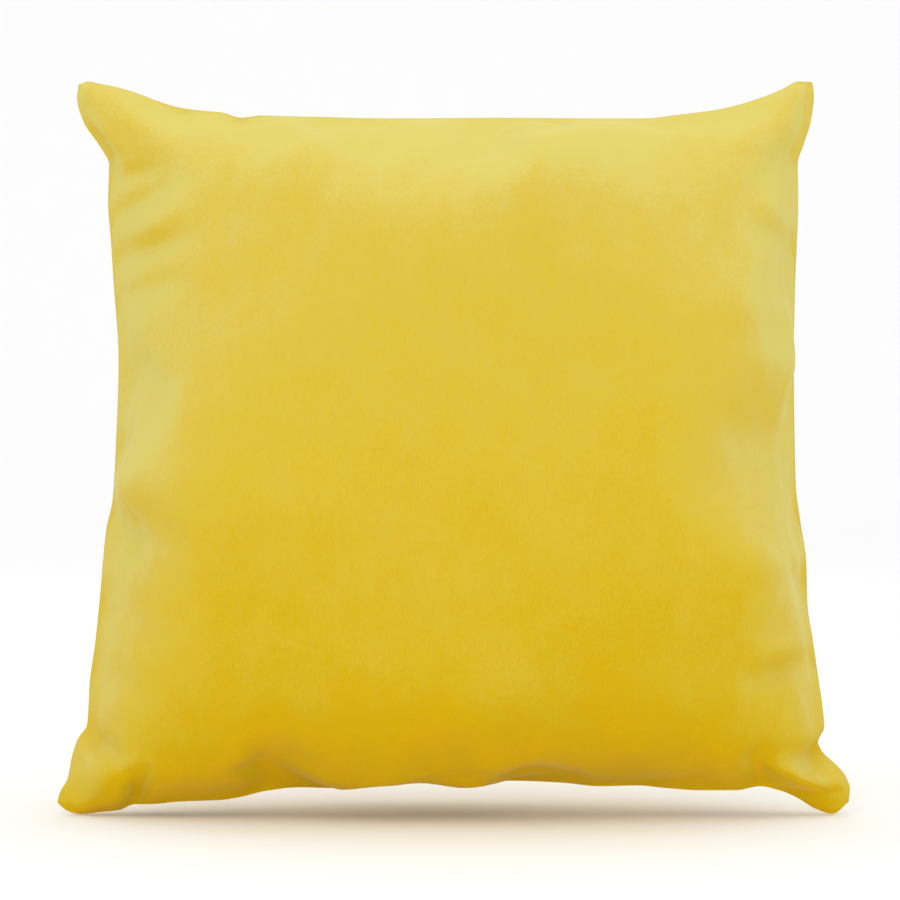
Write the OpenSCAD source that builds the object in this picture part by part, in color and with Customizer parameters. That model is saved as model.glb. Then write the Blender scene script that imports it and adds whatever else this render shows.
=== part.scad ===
// Square knife-edge throw pillow: a zipped velvet cover over a sewn, fibre-filled insert.
// It stands on its two lower corners. +Z is up, the front face looks along -Y,
// and the origin is on the floor, midway between the corners, in the seam plane.

/* [Cover] */
// Width of the seam outline across the lower corners
lower_span = 446; // [360:1:560]
// Width of the seam outline across the upper corners
upper_span = 406; // [340:1:520]
// Height of the upper corners above the floor
cover_height = 407; // [330:1:500]
// Thickness of the stuffed pillow at its fullest
cover_thickness = 162; // [110:1:210]
// How far each side seam pulls in between the corners
side_pull = 23; // [8:1:40]
// How far the top seam dips between the upper corners
top_dip = 21; // [8:1:35]
// Height of the bottom seam between the lower corners
belly_rise = 18; // [13:0.5:25]
// How far the lower corners are pressed flat by the floor
corner_press = 10; // [4:0.5:10.5]
// Thickness of the velvet with its backing
velvet_thickness = 1.4; // [0.8:0.1:2]
// Width of the seam allowance turned inside
cover_allowance = 12; // [11:0.5:16]

/* [Insert] */
// Space between the cover's lining face and the insert
insert_gap = 1.3; // [1:0.1:3]
// Space between the cover's raw edges and the insert's seam
insert_inset = 3; // [2:0.5:8]
// Thickness of the insert's woven casing
casing_thickness = 0.7; // [0.4:0.1:1.2]
// Width of the insert's seam allowance
insert_allowance = 8; // [6:0.5:12]
// Space between the casing and the fibre
fill_gap = 0.6; // [0.4:0.1:2]
// Length of the insert's hand-closed opening
closing_length = 150; // [80:1:220]

/* [Zip] */
// Length of the closed chain between the stops
chain_length = 300; // [200:1:340]
// Length of tape beyond the stops at each end
tape_tail = 9; // [6:0.5:14]
// How far the tapes lie above the folded velvet edges that hide them
zip_recess = 6; // [5.5:0.5:7]
// Thickness of the woven tape
tape_thickness = 0.6; // [0.4:0.1:0.8]
// Distance between the two folded velvet edges
zip_opening = 12; // [11:0.5:16]
// Distance from one coil turn to the next on one side
coil_pitch = 1.5; // [1.2:0.1:2]
// Width of the closed coil
coil_width = 4.2; // [3.6:0.1:5]
// Height of the coil
coil_height = 1.75; // [1.4:0.05:2]
// How far each turn reaches past the middle of the chain
coil_engagement = 0.5; // [0.3:0.05:0.7]
// Side clearance between neighbouring turns
coil_clearance = 0.1; // [0.06:0.01:0.2]

/* [Slider] */
// Length of the slider body
slider_length = 9.6; // [8:0.1:12]
// Width of the slider at its shoulders
slider_width = 8.2; // [7.6:0.1:9]
// Width of the slider at its tail
slider_tail_width = 6.8; // [6.4:0.1:7.4]
// Thickness of the slider's two plates
plate_thickness = 0.8; // [0.6:0.05:1]
// Thickness of the lower plate's side flanges
flange_thickness = 0.6; // [0.4:0.05:0.8]
// Clearance between the slider and what runs through it
slider_clearance = 0.25; // [0.2:0.05:0.35]
// Width of the wedge that parts the two coils
wedge_width = 2.4; // [2:0.1:2.8]
// Width of the bail that holds the pull tab
bail_width = 1.6; // [1.2:0.1:1.8]
// Length of the bail
bail_length = 6.4; // [5:0.1:7.4]
// Thickness of the bail
bail_thickness = 0.8; // [0.6:0.05:1]
// Diameter of the pull tab's cross-bar
tab_bar_diameter = 1; // [0.8:0.05:1.2]
// Clearance round the cross-bar under the bail
tab_bar_clearance = 0.15; // [0.1:0.01:0.25]
// Length of the pull tab from its cross-bar's axis
tab_length = 15.5; // [10:0.1:15.5]
// Width of the pull tab
tab_width = 4.4; // [4:0.1:5]
// Thickness of the pull tab
tab_thickness = 0.8; // [0.6:0.05:0.9]

/* [Threads and labels] */
// Diameter of the sewing thread
thread_diameter = 0.7; // [0.4:0.05:1]
// Distance from a seam's fold to its line of stitches
stitch_inset = 1.5; // [1:0.1:3]
// Distance between stitches along the zip
zip_stitch_pitch = 8; // [4:0.5:12]
// Distance between the points of a zigzag binding or a whip stitch
overlock_step = 7; // [5:0.5:12]
// Thickness of the two blank labels
label_thickness = 0.3; // [0.2:0.05:0.4]

/* [Hidden] */

VELVET = "#e0b93a";
VELVET_SHADE = "#c99a1c";
THREAD = "#d0a428";
TAPE = "#c8992b";
NYLON = "#d9b04a";
METAL = "#b9b7ae";
CASING = "#f1efe9";
LABEL = "#fbfaf6";
FIBRE = "#ffffff";

// The outline and the crown
side_power = 2.6;
crown_power = 2.6;
crown_exponent = 0.5;
crown_drop = 0.1;
top_flat = 0.55;
slack = 0.01;
// How far parts of one solid run into each other, so that they are joined
join = 0.05;
overlock_width = 5;
press_top = corner_press / 2;

// The zip's stretch of the bottom seam
tape_half = chain_length / 2 + tape_tail;
// The velvet edges part over the tapes and this far beyond them, then close over a short run
opening_spare = 12;
closing_run = 15;
opening_half = tape_half + opening_spare;
closed_half = opening_half + closing_run;
lower_half = lower_span / 2;
u_open = opening_half / lower_half;
u_closed = closed_half / lower_half;
u_closing = closing_length / lower_span;

// The grid that every skin shares, from one side seam to the other and from bottom to top
zip_cells = 7;
corner_cells = 4;
height_cells = 22;
right_us = concat(
    [for (i = [0:zip_cells]) u_open * i / zip_cells],
    [u_closed],
    [for (i = [1:corner_cells]) u_closed + (1 - u_closed) * sin(90 * i / corner_cells)]
);
last_right = len(right_us) - 1;
us = concat([for (i = [last_right:-1:1]) -right_us[i]], right_us);
vs = [for (j = [0:height_cells]) sin(180 * j / height_cells - 90)];
last_u = len(us) - 1;
last_v = len(vs) - 1;

// Each skin as [distance inside the seam outline, depth below the cover's face]
COVER_FACE = [0, 0];
COVER_LINING = [cover_allowance, velvet_thickness];
label_share = 0.3;
LABEL_FACE = [
    cover_allowance + label_share * insert_inset,
    velvet_thickness + label_share * insert_gap
];
LABEL_BACK = [LABEL_FACE[0] + label_thickness, LABEL_FACE[1] + label_thickness];
CASING_FACE = [cover_allowance + insert_inset, velvet_thickness + insert_gap];
CASING_LINING = [CASING_FACE[0] + insert_allowance, CASING_FACE[1] + casing_thickness];
FIBRE_FACE = [CASING_LINING[0] + fill_gap, CASING_LINING[1] + fill_gap];

// The zip's levels: the tapes' lower face, their sewn edges, which stand up against the seam
// allowance, and what lies above and below them
zip_height = belly_rise + zip_recess;
tape_upstand = cover_allowance - zip_recess;
tape_top = zip_height + tape_thickness;
coil_low = zip_height - coil_height;
lower_plate_top = coil_low - slider_clearance;
lower_plate_low = lower_plate_top - plate_thickness;
upper_plate_low = tape_top + slider_clearance;
tab_bar_z = lower_plate_low - tab_bar_clearance - tab_bar_diameter / 2;
bail_inside = tab_bar_z - tab_bar_diameter / 2 - tab_bar_clearance;
bail_low = bail_inside - bail_thickness;

// The zip's stations, with the slider closed against the top stops
stop_length = 2.8;
clip_thickness = 0.5;
stop_gap = 0.2;
wedge_offset = 0.3;
coil_end_gap = 0.5;
wedge_play = 0.4;
slider_nose = chain_length / 2 - stop_gap;
slider_x = slider_nose - slider_length / 2;
wedge_back = slider_x + wedge_offset;
coil_start = -chain_length / 2 + coil_end_gap;
tape_meet = 0.5;
tape_part = wedge_width / 2 + wedge_play;
tooth_width = coil_pitch / 2 - coil_clearance;
tooth_count = floor((wedge_back - stop_gap - coil_start - tooth_width - coil_pitch / 2) / coil_pitch);

function smooth(t) = let (c = min(max(t, 0), 1)) c * c * (3 - 2 * c);
function mix(a, b, t) = a + (b - a) * t;

function half_width(v) =
    mix(lower_span, upper_span, (1 + v) / 2) / 2 - side_pull * (1 - pow(abs(v), side_power));
function low_edge(u) =
    belly_rise - (belly_rise + corner_press) * smooth((abs(u) - u_open) / (1 - u_open));
function high_edge(u) =
    cover_height - top_dip * (1 - smooth((abs(u) - top_flat) / (1 - top_flat)));
function crown(u, v) =
    let (low_v = v + crown_drop * (1 - v * v))
    pow(max((1 - pow(abs(u), crown_power)) * (1 - pow(abs(low_v), crown_power)), 0), crown_exponent);
function parting(u, v) =
    zip_opening / 2 * (1 - smooth((abs(u) - u_open) / (u_closed - u_open))) * smooth((-0.6 - v) / 0.4);

// How far a skin stands out from the seam plane. It eases to nothing at the seam.
function bulge(u, v, depth) =
    let (full = cover_thickness / 2 * crown(u, v))
    full > 0 ? full * full / (full + depth) : 0;

// A point of the front skins. Only the cover parts round the zip.
function skin_point(u, v, skin, parted) = [
    u * (half_width(v) - skin[0]),
    -(bulge(u, v, skin[1]) + (parted ? parting(u, v) : 0)),
    mix(low_edge(u) + skin[0], high_edge(u) - skin[0], (1 + v) / 2)
];

function skin_points(skin, parted, i0 = 0, i1 = last_u, j0 = 0, j1 = last_v) =
    [for (i = [i0:i1]) for (j = [j0:j1]) skin_point(us[i], vs[j], skin, parted)];

// The two triangles of each grid cell, which meet on the diagonal that points at the middle
function skin_faces(columns, rows, first, flipped, i0 = 0, j0 = 0) = [
    for (i = [0:columns - 2]) for (j = [0:rows - 2])
        let (
            a = first + i * rows + j, b = a + rows, c = b + 1, d = a + 1,
            rising = (i0 + i < last_u / 2) == (j0 + j < last_v / 2),
            cell = rising ? [[a, c, b], [a, d, c]] : [[a, d, b], [b, d, c]]
        )
        each [for (f = cell) flipped ? [f[0], f[2], f[1]] : f]
];

// The grid's boundary, anticlockwise seen from -Y
function border(columns, rows) = concat(
    [for (i = [0:columns - 2]) i * rows],
    [for (j = [0:rows - 2]) (columns - 1) * rows + j],
    [for (i = [columns - 1:-1:1]) i * rows + rows - 1],
    [for (j = [rows - 1:-1:1]) j]
);

function border_faces(columns, rows, second) =
    let (edge = border(columns, rows), n = len(edge))
    [
        for (k = [0:n - 1])
            let (a = edge[k], b = edge[(k + 1) % n])
            each [[a, b, second + b], [a, second + b, second + a]]
    ];

// A sheet between two skins, closed round its border
module sheet(face, back, parted, i0 = 0, i1 = last_u, j0 = 0, j1 = last_v) {
    columns = i1 - i0 + 1;
    rows = j1 - j0 + 1;
    count = columns * rows;
    polyhedron(
        points = concat(
            skin_points(face, parted, i0, i1, j0, j1),
            skin_points(back, parted, i0, i1, j0, j1)
        ),
        faces = concat(
            skin_faces(columns, rows, 0, false, i0, j0),
            skin_faces(columns, rows, count, true, i0, j0),
            border_faces(columns, rows, count)
        )
    );
}

// A cover panel, pressed flat where its lower corners meet the floor
module cover_panel() {
    difference() {
        sheet(COVER_FACE, COVER_LINING, true);
        translate([-lower_span, -cover_thickness, -2 * corner_press])
            cube([2 * lower_span, 2 * cover_thickness, 2 * corner_press]);
    }
}

module cover_front_panel() {
    color(VELVET) cover_panel();
}

module cover_back_panel() {
    color(VELVET_SHADE) mirror([0, 1, 0]) cover_panel();
}

module insert_front_panel() {
    color(CASING) sheet(CASING_FACE, CASING_LINING, false);
}

module insert_back_panel() {
    color(CASING) mirror([0, 1, 0]) sheet(CASING_FACE, CASING_LINING, false);
}

// The stuffing: a front and a back skin that share their border
module fibre_fill() {
    columns = last_u + 1;
    rows = last_v + 1;
    front = skin_points(FIBRE_FACE, false);
    is_border = [
        for (i = [0:last_u]) for (j = [0:last_v])
            i == 0 || i == last_u || j == 0 || j == last_v
    ];
    back_faces = [
        for (f = skin_faces(columns, rows, 0, true))
            [for (k = f) is_border[k] ? k : k + len(front)]
    ];
    color(FIBRE)
        polyhedron(
            points = concat(front, [for (p = front) [p[0], -p[1], p[2]]]),
            faces = concat(skin_faces(columns, rows, 0, false), back_faces)
        );
}

// A blank label, lying between the cover's lining face and the insert
module care_label() {
    color(LABEL) sheet(LABEL_FACE, LABEL_BACK, false, 1, 4, 6, 8);
}

module insert_label() {
    color(LABEL) sheet(LABEL_FACE, LABEL_BACK, false, last_u - 4, last_u - 1, 6, 8);
}

// Places round the seam as [u, v]: from u_start along the bottom to the left, up, over the top,
// down and back along the bottom to u_start
function low_stations(u_start) =
    concat([[u_start, -1]], [for (u = right_us) if (u > u_start + slack) [u, -1]]);
function seam_stations(u_start) = concat(
    [for (s = low_stations(u_start)) [-s[0], s[1]]],
    [for (j = [1:last_v]) [-1, vs[j]]],
    [for (i = [1:last_u]) [us[i], 1]],
    [for (j = [last_v - 1:-1:0]) [1, vs[j]]],
    let (low = low_stations(u_start)) [for (k = [len(low) - 2:-1:0]) low[k]]
);

// Heights below press_top are squeezed into what the floor leaves of the lower corners
function pressed(z) =
    z < press_top ? mix(thread_diameter, press_top, (z + corner_press) / (press_top + corner_press)) : z;

// A point of the seam plane at a distance inside the outline. Where the floor lifts it, it also
// moves inwards.
function seam_point(station, inset) =
    let (
        p = skin_point(station[0], station[1], [inset, 0], false),
        lift = pressed(p[2]) - p[2]
    )
    [p[0] - sign(p[0]) * lift / 2, p[1], p[2] + lift];

function seam_route(stations, inset) = [for (s = stations) seam_point(s, inset)];

// Stations cut into steps of about the given length
function in_steps(stations, step) = [
    for (k = [0:len(stations) - 2])
        let (gap = norm(seam_point(stations[k + 1], 0) - seam_point(stations[k], 0)))
        let (n = max(1, round(gap / step)))
        each [for (m = [0:n - 1]) mix(stations[k], stations[k + 1], m / n)]
];

// A route that goes from one inset to the other and back
function zigzag_route(stations, first, second) =
    [for (k = [0:len(stations) - 1]) seam_point(stations[k], k % 2 == 0 ? first : second)];

function unit(p) = p / norm(p);

// A thread along a route in the seam plane, with square ends
module thread(route, sides = 6) {
    last = len(route) - 1;
    radius = thread_diameter / 2;
    rings = [
        for (k = [0:last])
            let (
                along = unit(route[min(k + 1, last)] - route[max(k - 1, 0)]),
                across = [along[2], 0, -along[0]]
            )
            [
                for (s = [0:sides - 1])
                    route[k] + radius * (cos(360 * s / sides) * across + [0, sin(360 * s / sides), 0])
            ]
    ];
    polyhedron(
        points = [for (ring = rings) each ring],
        faces = concat(
            [[for (s = [0:sides - 1]) s]],
            [
                for (k = [0:last - 1]) for (s = [0:sides - 1])
                    let (a = k * sides + s, b = k * sides + (s + 1) % sides)
                    each [[a, b + sides, b], [a, a + sides, b + sides]]
            ],
            [[for (s = [sides - 1:-1:0]) last * sides + s]]
        )
    );
}

module cover_seam_thread() {
    color(THREAD) thread(seam_route(seam_stations(u_closed), stitch_inset));
}

// Binds the allowance's two raw edges together
module cover_overlock_thread() {
    color(THREAD)
        thread(
            zigzag_route(
                in_steps(seam_stations(u_closed), overlock_step),
                cover_allowance - overlock_width,
                cover_allowance + thread_diameter / 2
            ),
            4
        );
}

module insert_seam_thread() {
    color(THREAD)
        thread(seam_route(seam_stations(u_closing), CASING_FACE[0] + stitch_inset));
}

// Whip stitches along the opening that the insert was filled through
module insert_closing_thread() {
    count = 2 * floor(closing_length / overlock_step / 2);
    last = u_closing - stitch_inset / lower_span;
    color(THREAD)
        thread(
            zigzag_route(
                [for (k = [0:count]) [mix(-last, last, k / count), -1]],
                CASING_FACE[0] + stitch_inset / 3,
                CASING_FACE[0] + 2 * stitch_inset
            ),
            4
        );
}

// The tape's flat half, drawn from above: its inner edge meets the other's, then parts
// beside the slider's wedge and the stops. The sewn edge stands up against the allowance.
module zip_tape() {
    sewn = zip_opening / 2;
    translate([0, 0, zip_height])
        linear_extrude(height = tape_thickness)
            polygon([
                [-tape_half, -sewn],
                [tape_half, -sewn],
                [tape_half, -tape_part],
                [wedge_back - stop_gap, -tape_part],
                [wedge_back - tape_part, -tape_meet],
                [-tape_half, -tape_meet]
            ]);
    translate([-tape_half, -sewn, zip_height])
        cube([2 * tape_half, tape_thickness, tape_upstand]);
}

module zip_tape_front() {
    color(TAPE) zip_tape();
}

module zip_tape_back() {
    color(TAPE) mirror([0, 1, 0]) zip_tape();
}

// One side's row of coil turns, from above: a spine on the tape and a turn at each pitch
module coil_row(start) {
    spine = coil_width / 2;
    root = coil_engagement + 3 * coil_clearance;
    turns = [
        for (k = [0:tooth_count - 1])
            let (x = start + k * coil_pitch)
            each [
                [x, -root],
                [x, coil_engagement],
                [x + tooth_width, coil_engagement],
                [x + tooth_width, -root]
            ]
    ];
    translate([0, 0, coil_low])
        linear_extrude(height = coil_height)
            polygon(concat(
                [[start, -spine]],
                turns,
                [[start + (tooth_count - 1) * coil_pitch + tooth_width, -spine]]
            ));
}

module zip_coil_front() {
    color(NYLON) coil_row(coil_start);
}

module zip_coil_back() {
    color(NYLON) mirror([0, 1, 0]) coil_row(coil_start + coil_pitch / 2);
}

// A clip folded over the inner edge of the front tape
module top_stop() {
    inner = wedge_width / 2;
    outer = coil_width / 2 + 1;
    x = chain_length / 2;
    translate([x, -outer, coil_low])
        cube([stop_length, outer - inner, coil_height]);
    translate([x, -outer, tape_top])
        cube([stop_length, outer - inner, clip_thickness]);
    translate([x, -tape_part, coil_low])
        cube([stop_length, tape_part - inner, tape_top + clip_thickness - coil_low]);
}

module zip_top_stops() {
    color(NYLON) {
        top_stop();
        mirror([0, 1, 0]) top_stop();
    }
}

// A box clip that joins the two tapes where the chain starts
module zip_bottom_stop() {
    half = coil_width / 2 + 0.4;
    x = -chain_length / 2 - stop_length;
    color(NYLON) {
        translate([x, -half, coil_low])
            cube([stop_length, 2 * half, coil_height]);
        translate([x, -half, tape_top])
            cube([stop_length, 2 * half, clip_thickness]);
        translate([x, -tape_meet, coil_low])
            cube([stop_length, 2 * tape_meet, tape_top + clip_thickness - coil_low]);
    }
}

// A run of thread on the tape's sewn edge, with a stitch through to the allowance at each pitch
module zip_stitching() {
    face = -zip_opening / 2 + tape_thickness;
    z = zip_height + tape_upstand / 2 + tape_thickness;
    run = tape_half - stitch_inset;
    count = floor(2 * run / zip_stitch_pitch);
    translate([-run, face - thread_diameter / 2, z - thread_diameter / 2])
        cube([2 * run, thread_diameter, thread_diameter]);
    for (k = [0:count])
        translate([
            mix(-run + stitch_inset, run - stitch_inset, k / count) - thread_diameter / 2,
            face - tape_thickness - velvet_thickness,
            z - thread_diameter / 2
        ])
            cube([thread_diameter, tape_thickness + velvet_thickness, thread_diameter]);
}

module zip_stitching_front() {
    color(THREAD) zip_stitching();
}

module zip_stitching_back() {
    color(THREAD) mirror([0, 1, 0]) zip_stitching();
}

// The slider's outline from above, with its tail at -X and its shoulders at +X
module slider_outline(shrink) {
    half = slider_length / 2;
    shoulder = half - slider_width / 2;
    nose = half - slider_width / 4;
    polygon([
        [-half, -slider_tail_width / 2 + shrink],
        [shoulder, -slider_width / 2 + shrink],
        [nose, -slider_width / 2 + shrink],
        [half, -slider_width / 4],
        [half, slider_width / 4],
        [nose, slider_width / 2 - shrink],
        [shoulder, slider_width / 2 - shrink],
        [-half, slider_tail_width / 2 - shrink]
    ]);
}

module zip_slider() {
    flange_top = zip_height - slider_clearance;
    color(METAL) translate([slider_x, 0, 0]) {
        translate([0, 0, upper_plate_low])
            linear_extrude(height = plate_thickness) slider_outline(0);
        translate([0, 0, lower_plate_low])
            linear_extrude(height = plate_thickness) slider_outline(0);
        translate([0, 0, lower_plate_top - join])
            linear_extrude(height = flange_top - lower_plate_top + join)
                difference() {
                    slider_outline(0);
                    slider_outline(flange_thickness);
                    translate([slider_length / 2 - 2, -slider_width])
                        square([slider_length, 2 * slider_width]);
                }
        translate([-slider_x, 0, lower_plate_top - join])
            linear_extrude(height = upper_plate_low - lower_plate_top + 2 * join) wedge_outline();
        bail();
    }
}

// The wedge between the plates, pointed towards the closed chain
module wedge_outline() {
    polygon([
        [wedge_back, 0],
        [wedge_back + wedge_width / 2, -wedge_width / 2],
        [slider_nose - wedge_offset, -wedge_width / 2],
        [slider_nose - wedge_offset, wedge_width / 2],
        [wedge_back + wedge_width / 2, wedge_width / 2]
    ]);
}

// An arch under the lower plate, which the tab's cross-bar runs through
module bail() {
    half = bail_length / 2;
    translate([0, bail_width / 2, 0]) rotate([90, 0, 0])
        linear_extrude(height = bail_width)
            difference() {
                polygon([
                    [-half, lower_plate_low + join],
                    [-half, lower_plate_low],
                    [-half + bail_thickness, bail_low],
                    [half - bail_thickness, bail_low],
                    [half, lower_plate_low],
                    [half, lower_plate_low + join]
                ]);
                translate([-half + 1.5 * bail_thickness, bail_inside])
                    square([bail_length - 3 * bail_thickness, lower_plate_low - bail_inside]);
            }
}

// The pull tab, lying back along the chain: a cross-bar in the bail, two arms and a blade
module zip_pull_tab() {
    arm_inside = bail_width / 2 + slider_clearance + 0.1;
    window = bail_length / 2 + 2 * slider_clearance;
    tip = tab_width / 2;
    color(METAL) translate([slider_x, 0, tab_bar_z]) {
        translate([0, tab_width / 2 - join, 0]) rotate([90, 0, 0])
            cylinder(d = tab_bar_diameter, h = tab_width - 2 * join, $fn = 32);
        translate([0, 0, -tab_thickness / 2])
            linear_extrude(height = tab_thickness)
                difference() {
                    union() {
                        translate([tip - tab_length, -tab_width / 2])
                            square([tab_length - tip, tab_width]);
                        translate([tip - tab_length, 0]) circle(r = tip, $fn = 48);
                    }
                    translate([-window, -arm_inside]) square([2 * window, 2 * arm_inside]);
                    translate([tip - tab_length, 0]) circle(r = tip / 2, $fn = 32);
                }
    }
}

cover_front_panel();
cover_back_panel();
cover_seam_thread();
cover_overlock_thread();
care_label();
zip_tape_front();
zip_tape_back();
zip_coil_front();
zip_coil_back();
zip_top_stops();
zip_bottom_stop();
zip_stitching_front();
zip_stitching_back();
zip_slider();
zip_pull_tab();
insert_front_panel();
insert_back_panel();
insert_seam_thread();
insert_closing_thread();
insert_label();
fibre_fill();
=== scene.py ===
"""Throw pillow in yellow velvet: an inflated cover round a stuffed insert, on the CAD frame."""

import math

import bpy
import numpy as np
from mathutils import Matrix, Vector


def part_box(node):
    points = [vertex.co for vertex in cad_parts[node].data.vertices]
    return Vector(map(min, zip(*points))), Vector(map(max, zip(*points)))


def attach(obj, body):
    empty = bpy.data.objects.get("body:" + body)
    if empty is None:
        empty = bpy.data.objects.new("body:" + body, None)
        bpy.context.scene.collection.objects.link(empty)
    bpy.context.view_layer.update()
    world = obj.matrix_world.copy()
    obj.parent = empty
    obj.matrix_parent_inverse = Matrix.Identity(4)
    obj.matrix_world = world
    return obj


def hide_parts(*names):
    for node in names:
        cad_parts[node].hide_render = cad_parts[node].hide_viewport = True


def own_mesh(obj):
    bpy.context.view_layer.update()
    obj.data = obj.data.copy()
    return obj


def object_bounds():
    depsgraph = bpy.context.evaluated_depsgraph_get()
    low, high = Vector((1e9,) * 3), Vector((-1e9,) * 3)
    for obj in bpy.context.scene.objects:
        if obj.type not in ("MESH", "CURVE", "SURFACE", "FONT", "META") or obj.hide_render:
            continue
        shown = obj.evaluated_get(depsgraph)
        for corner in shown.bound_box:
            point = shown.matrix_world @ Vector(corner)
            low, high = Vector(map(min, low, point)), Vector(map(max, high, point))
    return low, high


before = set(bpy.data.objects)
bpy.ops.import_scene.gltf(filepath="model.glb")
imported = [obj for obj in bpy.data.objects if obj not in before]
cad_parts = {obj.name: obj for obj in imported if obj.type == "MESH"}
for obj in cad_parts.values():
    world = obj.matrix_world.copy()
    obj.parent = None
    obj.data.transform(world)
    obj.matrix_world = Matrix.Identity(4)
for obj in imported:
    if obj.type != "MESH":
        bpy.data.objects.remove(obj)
cad_low, cad_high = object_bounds()

MM = 0.001
WIDTH = cad_high.x - cad_low.x
HEIGHT = cad_high.z - cad_low.z
DEPTH = cad_high.y - cad_low.y

# ---------------------------------------------------------------------------------------------
# Sizes of the looks, in metres
# ---------------------------------------------------------------------------------------------
CUT_SIDE = 450 * MM      # the flat cover between its seams
CLOTH_CELLS = 72         # cells along one side of the simulated cover
CLOTH_UNEVEN = 0.4 * MM  # how uneven the empty cover lies, so that it folds freely
CLOTH_OPENED = 6 * MM    # half the gap between its middles before it is blown up
CLOTH_APART = 0.5 * MM   # half the gap between its faces at the seam, before
CLOTH_FRAMES = 25
CLOTH_PRESSURE = 6.0
FINE = 150               # cells along one side of the finished cover
CROWDING = 1.45          # how much the finished cover's lines crowd towards the seams
KINK = 2                 # kinks of up to this many cells are blurred away
COARSE = 2               # the insert takes every second line of the fine grid
SEAM_GAP = 0.12 * MM     # half the gap between the panels at the seam
ZIP_GAP = 6 * MM         # half the gap between the velvet edges at the zip
OPENED, CLOSED = 171 * MM, 186 * MM  # the edges stand apart up to here, and meet from there
ZIP_REACH = 25 * MM      # how far up the parting of the edges is felt
ZIP_ROOM = 31 * MM       # the insert stays above this, over the zip
LAYER_REACH = 25 * MM    # how far from the seam the inset of an inner layer is felt, at least
BOTTOM_HEAVY = 0.14      # how much fuller the pillow is at the floor than at the top
FLOOR_GAP = 0.1 * MM     # the velvet's lowest point above the floor

# Each layer as (distance inside the seam, depth below the cover's face)
SEAM_LINE = (3 * MM, 0)
OVERLOCK_LINES = ((5 * MM, 0), (11 * MM, 0))
COVER_LINING = (12 * MM, 1.4 * MM)
LABEL_LAYERS = ((13 * MM, 1.7 * MM), (13.3 * MM, 2.0 * MM))
CASING_FACE = (15 * MM, 2.8 * MM)
CASING_LINING = (23 * MM, 3.5 * MM)
FIBRE_FACE = (24 * MM, 4.2 * MM)

LABEL_FLAT = (50 * MM, 60 * MM)
LABEL_LOW = 70 * MM      # height of the labels' lower edge
FIBRE_LUMP = 0.8 * MM
FIBRE_WAVES = (190, 170) # how close the fibre's lumps are, across and up

THREAD = 0.5 * MM        # thread diameter
STITCH = 3.2 * MM        # length of the seams' stitches
OVERLOCK_STEP = 3.5 * MM
TAPE_STITCH = 2 * MM
INSERT_SEAM = (CASING_FACE[0] + 1.5 * MM, 0)
CLOSING_HALF = 75 * MM   # half the length of the insert's hand-closed opening
WHIP_STEP = 0.5 * MM     # between the points of the closing thread
WHIP_STITCH = 4 * MM     # length of the closing stitches
WHIP_WIDE, WHIP_TALL = 1.2 * MM, 0.6 * MM
WIRE_SIDES = 5           # flat sides round the coil's wire

TAPE = 0.6 * MM          # thickness of the zip's woven tape
TAPE_BEND = 1.2 * MM     # radius of its fold
TAPE_DRAWN, TAPE_DRAWN_OVER = 1.1 * MM, 4 * MM  # its edge draws back where the slider sits
TAPE_STEP = 2 * MM       # between the rings of points along a tape
COIL_WIRE = 0.28 * MM    # radius of the coil's wire
COIL_PITCH = 1.5 * MM
ZIP_TRAVEL = 289 * MM    # how far the slider runs
SLIDER_MOUTH = 1.2 * MM  # how far inside the slider the two sides part

# The outline, as fractions of the box: (height, place across) for the sides,
# (place across, height) for the bottom and top
LEFT_SIDE = [
    (0.017, -0.500), (0.030, -0.497), (0.050, -0.487), (0.082, -0.481), (0.104, -0.474),
    (0.124, -0.462), (0.182, -0.4585), (0.240, -0.451), (0.291, -0.446), (0.390, -0.437),
    (0.430, -0.429), (0.510, -0.4245), (0.620, -0.421), (0.727, -0.427), (0.780, -0.430),
    (0.835, -0.4335), (0.885, -0.432), (0.905, -0.441), (0.945, -0.465), (0.975, -0.472),
    (0.992, -0.470),
]
RIGHT_SIDE = [
    (0.018, 0.498), (0.036, 0.4995), (0.055, 0.493), (0.070, 0.481), (0.086, 0.465),
    (0.100, 0.459), (0.120, 0.467), (0.150, 0.4645), (0.182, 0.460), (0.237, 0.4525),
    (0.291, 0.445), (0.345, 0.4435), (0.400, 0.436), (0.450, 0.430), (0.510, 0.4285),
    (0.620, 0.427), (0.727, 0.4285), (0.835, 0.432), (0.885, 0.431), (0.912, 0.4385),
    (0.944, 0.4475), (0.977, 0.451), (0.996, 0.449),
]
BOTTOM = [
    (-0.500, 0.017), (-0.488, 0.006), (-0.471, 0.001), (-0.446, 0.004), (-0.421, 0.007),
    (-0.402, 0.016), (-0.380, 0.0165), (-0.345, 0.020), (-0.295, 0.022), (-0.265, 0.027),
    (-0.240, 0.034), (-0.194, 0.0395), (-0.150, 0.0385), (-0.093, 0.048), (-0.043, 0.0495),
    (0.008, 0.0435), (0.070, 0.0485), (0.134, 0.046), (0.184, 0.041), (0.234, 0.042),
    (0.262, 0.039), (0.310, 0.0355), (0.355, 0.0355), (0.386, 0.041), (0.411, 0.034),
    (0.434, 0.023), (0.456, 0.0085), (0.478, 0.0015), (0.498, 0.018),
]
TOP = [
    (-0.470, 0.992), (-0.458, 0.997), (-0.446, 0.9945), (-0.421, 0.989), (-0.396, 0.981),
    (-0.370, 0.970), (-0.345, 0.962), (-0.320, 0.958), (-0.290, 0.955), (-0.267, 0.948),
    (-0.240, 0.951), (-0.194, 0.9497), (-0.068, 0.947), (0.058, 0.948), (0.184, 0.947),
    (0.234, 0.947), (0.285, 0.9525), (0.335, 0.960), (0.386, 0.9755), (0.411, 0.9865),
    (0.432, 0.997), (0.449, 0.996),
]


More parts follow.
